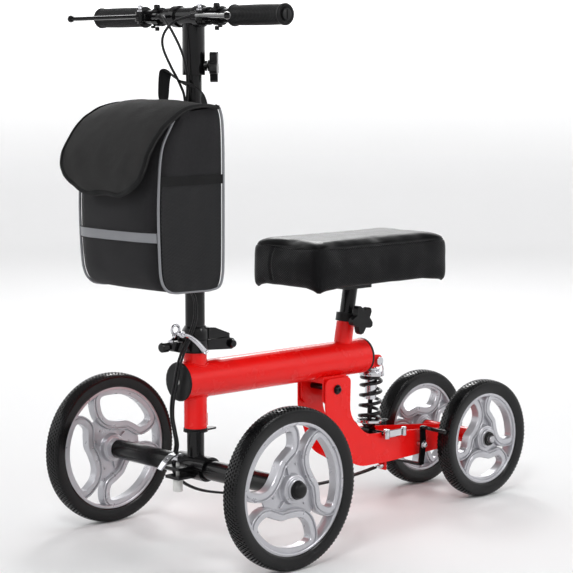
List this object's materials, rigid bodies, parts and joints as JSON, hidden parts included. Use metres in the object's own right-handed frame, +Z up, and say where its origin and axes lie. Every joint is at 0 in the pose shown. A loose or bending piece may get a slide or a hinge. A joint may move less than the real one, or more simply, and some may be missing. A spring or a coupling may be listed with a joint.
{
  "type": "knee scooter",
  "caption": "Steerable knee scooter with a padded knee rest, folding mast, hand brakes, front bag and a sprung rear swingarm carrying close-set rear wheels.",
  "frame": {"origin": "on the floor under the middle of the outline", "axes": "+Y towards the rear wheels, +Z up, +X to the rider's left"},
  "size_m": [0.5002, 0.9002, 0.8619],
  "materials": {
    "red_paint": "gloss powder coat",
    "black_paint": "satin powder coat",
    "black_plastic": "moulded, matte",
    "white_plastic": "moulded",
    "chrome": "bright plating",
    "steel": "zinc plated",
    "silver_plastic": "silver moulding, fine satin",
    "rubber": "matte",
    "tyre": "semi-gloss sidewall, treaded",
    "black_fabric": "woven polyester",
    "black_vinyl": "smooth vinyl"
  },
  "bodies": {
    "frame": {"main_frame": "red_paint", "front_end_cap": "black_plastic", "rear_end_cap": "black_plastic", "headset_lower": "black_plastic", "headset_upper": "black_plastic", "seat_collar": "black_plastic", "swingarm_pivot_bolt": "black_paint", "shock_top_bolt": "chrome", "brake_cable_left": "black_plastic", "brake_cable_right": "black_plastic"},
    "seat_knob": {"seat_knob": "black_plastic"},
    "seat": {"seat_post": "black_paint", "seat_plate": "black_paint", "seat_cushion": "black_vinyl"},
    "swingarm": {"swingarm": "red_paint", "rear_axle": "steel", "rear_cable_adjuster": "chrome", "brake_pivot_bolt": "chrome", "shock_bottom_bolt": "black_paint"},
    "shock_lever": {"shock_lever": "chrome"},
    "shock_body": {"shock_damper": "chrome", "shock_spring": "black_paint"},
    "shock_rod": {"shock_rod": "black_paint"},
    "rear_brake": {"rear_brake_yoke": "black_paint"},
    "steering": {"steering_tube": "black_paint", "axle_clamp_jaw": "black_paint", "front_axle": "black_paint", "steer_stop": "black_paint", "axle_release_bolt": "white_plastic", "fold_base": "black_paint", "fold_hinge_pin": "black_paint", "fold_eye_bolt": "chrome"},
    "axle_lever": {"axle_release_lever": "chrome"},
    "fold_lever": {"fold_lever": "chrome"},
    "mast": {"mast_tube": "black_paint", "bag_body": "black_fabric"},
    "bag_flap": {"bag_flap": "black_fabric"},
    "handlebar": {"stem_sleeve": "black_paint", "handlebar_tube": "black_paint", "grip_left": "rubber", "grip_right": "rubber", "brake_perch_left": "black_paint", "brake_perch_right": "black_paint"},
    "stem_knob": {"stem_knob": "black_plastic"},
    "brake_lever_left": {"brake_lever_left": "black_paint"},
    "brake_lever_right": {"brake_lever_right": "black_paint"},
    "front_wheel_left": {"front_wheel_left_tyre": "tyre", "front_wheel_left_rim": "silver_plastic", "front_wheel_left_bearing": "steel", "front_wheel_left_cap": "black_plastic"},
    "rear_wheel_left": {"rear_wheel_left_tyre": "tyre", "rear_wheel_left_rim": "silver_plastic", "rear_wheel_left_bearing": "steel"},
    "front_wheel_right": {"front_wheel_right_tyre": "tyre", "front_wheel_right_rim": "silver_plastic", "front_wheel_right_bearing": "steel", "front_wheel_right_cap": "black_plastic"},
    "rear_wheel_right": {"rear_wheel_right_tyre": "tyre", "rear_wheel_right_rim": "silver_plastic", "rear_wheel_right_bearing": "steel"}
  },
  "joints": [
    {"name": "steer", "type": "hinge", "parent": "frame", "child": "steering", "pos_m": [0, -0.2616, 0.25], "axis": [0, 0, 1], "range_deg": [-40, 40], "deforming": ["brake_cable_left", "brake_cable_right"]},
    {"name": "mast_fold", "type": "hinge", "parent": "steering", "child": "mast", "pos_m": [0, -0.1996, 0.323], "axis": [1, 0, 0], "range_deg": [-50, 0]},
    {"name": "stem_height", "type": "slide", "parent": "mast", "child": "handlebar", "axis": [0, 0, 1], "range_m": [0, 0.045]},
    {"name": "stem_knob_turn", "type": "hinge", "parent": "handlebar", "child": "stem_knob", "pos_m": [0, -0.2616, 0.768], "axis": [0.7071, 0.7071, 0], "range_deg": [0, 180]},
    {"name": "brake_lever_left", "type": "hinge", "parent": "handlebar", "child": "brake_lever_left", "pos_m": [0.072, -0.3106, 0.8446], "axis": [0, 0, 1], "range_deg": [0, 22], "stiffness_Nm_per_rad": 2, "springref_deg": -8.59},
    {"name": "brake_lever_right", "type": "hinge", "parent": "handlebar", "child": "brake_lever_right", "pos_m": [-0.072, -0.3106, 0.8446], "axis": [0, 0, -1], "range_deg": [0, 22], "stiffness_Nm_per_rad": 2, "springref_deg": -8.59},
    {"name": "bag_flap_lift", "type": "hinge", "parent": "mast", "child": "bag_flap", "pos_m": [0, -0.2956, 0.708], "axis": [-1, 0, 0], "range_deg": [0, 55]},
    {"name": "fold_lever_open", "type": "hinge", "parent": "steering", "child": "fold_lever", "pos_m": [0.026, -0.3116, 0.349], "axis": [1, 0, 0], "range_deg": [0, 90]},
    {"name": "axle_lever_open", "type": "hinge", "parent": "steering", "child": "axle_lever", "pos_m": [0, -0.2996, 0.147], "axis": [-1, 0, 0], "range_deg": [0, 100]},
    {"name": "front_wheel_left_roll", "type": "hinge", "parent": "steering", "child": "front_wheel_left", "pos_m": [0.22175, -0.2616, 0.127], "axis": [1, 0, 0], "continuous": true},
    {"name": "front_wheel_right_roll", "type": "hinge", "parent": "steering", "child": "front_wheel_right", "pos_m": [-0.22175, -0.2616, 0.127], "axis": [1, 0, 0], "continuous": true},
    {"name": "seat_height", "type": "slide", "parent": "frame", "child": "seat", "axis": [0, 0.184, 0.9829], "range_m": [0, 0.08]},
    {"name": "seat_knob_turn", "type": "hinge", "parent": "frame", "child": "seat_knob", "pos_m": [0.0265, 0.07817, 0.33863], "axis": [1, 0, 0], "range_deg": [0, 180]},
    {"name": "swingarm", "type": "hinge", "parent": "frame", "child": "swingarm", "pos_m": [0, 0.0224, 0.224], "axis": [1, 0, 0], "range_deg": [0, 6], "stiffness_Nm_per_rad": 600, "springref_deg": -3.44},
    {"name": "shock_tilt", "type": "hinge", "parent": "frame", "child": "shock_body", "pos_m": [0, 0.1424, 0.258], "axis": [1, 0, 0], "range_deg": [0, 4]},
    {"name": "shock_travel", "type": "slide", "parent": "shock_body", "child": "shock_rod", "axis": [0, 0.0644, 0.9979], "range_m": [0, 0.0124], "deforming": ["shock_spring"]},
    {"name": "shock_lever_open", "type": "hinge", "parent": "swingarm", "child": "shock_lever", "pos_m": [0.042, 0.1344, 0.134], "axis": [1, 0, 0], "range_deg": [0, 120]},
    {"name": "rear_brake", "type": "hinge", "parent": "swingarm", "child": "rear_brake", "pos_m": [0, 0.2284, 0.103], "axis": [-1, 0, 0], "range_deg": [0, 9]},
    {"name": "rear_wheel_left_roll", "type": "hinge", "parent": "swingarm", "child": "rear_wheel_left", "pos_m": [0.07575, 0.3452, 0.1049], "axis": [1, 0, 0], "continuous": true},
    {"name": "rear_wheel_right_roll", "type": "hinge", "parent": "swingarm", "child": "rear_wheel_right", "pos_m": [-0.07575, 0.3452, 0.1049], "axis": [1, 0, 0], "continuous": true}
  ],
  "couplings": [
    {"joint": "shock_tilt", "follows": "swingarm", "ratio": 0.665},
    {"joint": "shock_travel", "follows": "swingarm", "m_per_rad": 0.1166},
    {"joint": "rear_brake", "follows": "brake_lever_left", "ratio": 0.4}
  ]
}
